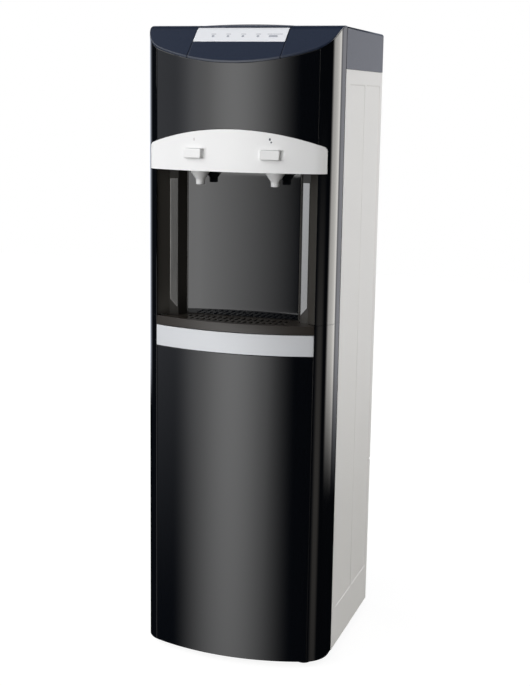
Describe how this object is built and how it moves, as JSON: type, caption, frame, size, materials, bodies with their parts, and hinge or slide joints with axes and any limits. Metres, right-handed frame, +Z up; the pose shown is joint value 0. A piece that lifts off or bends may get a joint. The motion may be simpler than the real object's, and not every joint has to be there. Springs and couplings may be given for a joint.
{
  "type": "water purifier dispenser",
  "caption": "Tall freestanding hot and cold water purifier dispenser with bowed gloss front, tap recess, drip tray, hinged filter door and rear condenser.",
  "frame": {"origin": "on the floor, under the middle of the bounding box", "axes": "+X to the right seen from the front, the front faces -Y, +Z up"},
  "size_m": [0.31, 0.3303, 1.0135],
  "materials": {
    "black_gloss": "high gloss moulded ABS",
    "black_abs": "gloss moulded ABS",
    "navy_abs": "satin moulded ABS",
    "white_abs": "gloss moulded ABS",
    "silver_band": "silver painted ABS",
    "label_film": "printed film",
    "lens": "clear lens",
    "steel_white": "powder coated sheet",
    "steel_grey": "galvanised sheet",
    "dark_plastic": "textured plastic",
    "inner_plastic": "natural plastic",
    "stainless": "brushed",
    "black_steel": "black paint",
    "copper": "drawn tube",
    "rubber": "moulded",
    "foam": "expanded bead foam",
    "pcb": "board",
    "tube_white": "flexible tube",
    "zinc": "plated",
    "switch_red": "moulded",
    "switch_green": "moulded",
    "filter_white": "moulded"
  },
  "bodies": {
    "cabinet": {"base_pan": "steel_grey", "rubber_feet": "rubber", "right_side_panel": "steel_white", "left_side_panel": "steel_white", "rear_panel": "steel_grey", "rear_grille": "dark_plastic", "condenser": "black_steel", "condenser_clips": "dark_plastic", "top_cover": "navy_abs", "control_fascia": "navy_abs", "control_panel": "navy_abs", "control_label": "label_film", "indicator_lenses": "lens", "front_housing": "black_abs", "upper_front_panel": "black_gloss", "tap_cover": "white_abs", "button_springs": "zinc", "button_switches": "dark_plastic", "tap_valves": "dark_plastic", "recess_liner": "black_abs", "recess_back_plate": "black_gloss", "recess_trim_strips": "silver_band", "hinge_pins": "zinc", "magnetic_catch": "dark_plastic", "inner_frame": "steel_grey", "filter_manifold": "inner_plastic", "water_tubes": "tube_white", "cold_tank": "stainless", "tank_lid": "inner_plastic", "tank_insulation": "foam", "evaporator_coil": "copper", "hot_tank": "stainless", "compressor": "black_steel", "compressor_grommets": "rubber", "refrigerant_pipes": "copper", "booster_pump": "dark_plastic", "transformer": "black_steel", "mains_inlet": "dark_plastic", "switch_housings": "dark_plastic", "control_board": "pcb", "water_inlet_fitting": "inner_plastic", "drain_plugs": "inner_plastic", "rear_screws": "zinc", "nozzles": "white_abs"},
    "hot_button": {"hot_button": "white_abs"},
    "cold_button": {"cold_button": "white_abs"},
    "tray": {"drip_tray": "black_abs"},
    "grille": {"drip_grille": "black_abs"},
    "door": {"door_frame": "black_abs", "door_backing": "black_abs", "door_panel": "black_gloss", "door_trim_band": "silver_band", "door_liner": "inner_plastic", "catch_plate": "zinc"},
    "sediment_cartridge": {"sediment_filter": "filter_white"},
    "carbon_cartridge": {"carbon_filter": "filter_white"},
    "membrane_cartridge": {"membrane_filter": "filter_white"},
    "polishing_cartridge": {"polishing_filter": "filter_white"},
    "hot_rocker": {"hot_switch_rocker": "switch_red"},
    "cold_rocker": {"cold_switch_rocker": "switch_green"}
  },
  "joints": [
    {"name": "hot_button_press", "type": "slide", "parent": "cabinet", "child": "hot_button", "axis": [0.1688, 0.9856, 0], "range_m": [0, 0.004], "stiffness_N_per_m": 500, "springref_m": -0.002, "deforming": ["button_springs"]},
    {"name": "cold_button_press", "type": "slide", "parent": "cabinet", "child": "cold_button", "axis": [-0.1688, 0.9856, 0], "range_m": [0, 0.004], "stiffness_N_per_m": 500, "springref_m": -0.002, "deforming": ["button_springs"]},
    {"name": "tray_slide", "type": "slide", "parent": "cabinet", "child": "tray", "axis": [0, -1, 0], "range_m": [0, 0.07]},
    {"name": "grille_lift", "type": "slide", "parent": "tray", "child": "grille", "axis": [0, 0, 1], "range_m": [0, 0.03]},
    {"name": "door_hinge", "type": "hinge", "parent": "cabinet", "child": "door", "pos_m": [-0.15, -0.08445, 0.3], "axis": [0, 0, -1], "range_deg": [0, 105]},
    {"name": "sediment_filter_turn", "type": "hinge", "parent": "cabinet", "child": "sediment_cartridge", "pos_m": [-0.096, -0.08045, 0.3], "axis": [0, 0, 1], "range_deg": [0, 90]},
    {"name": "carbon_filter_turn", "type": "hinge", "parent": "cabinet", "child": "carbon_cartridge", "pos_m": [-0.032, -0.08045, 0.3], "axis": [0, 0, 1], "range_deg": [0, 90]},
    {"name": "membrane_filter_turn", "type": "hinge", "parent": "cabinet", "child": "membrane_cartridge", "pos_m": [0.032, -0.08045, 0.3], "axis": [0, 0, 1], "range_deg": [0, 90]},
    {"name": "polishing_filter_turn", "type": "hinge", "parent": "cabinet", "child": "polishing_cartridge", "pos_m": [0.096, -0.08045, 0.3], "axis": [0, 0, 1], "range_deg": [0, 90]},
    {"name": "hot_switch_rock", "type": "hinge", "parent": "cabinet", "child": "hot_rocker", "pos_m": [0.036, 0.13625, 0.3], "axis": [1, 0, 0], "range_deg": [-20, 0]},
    {"name": "cold_switch_rock", "type": "hinge", "parent": "cabinet", "child": "cold_rocker", "pos_m": [0.062, 0.13625, 0.3], "axis": [1, 0, 0], "range_deg": [-20, 0]}
  ]
}
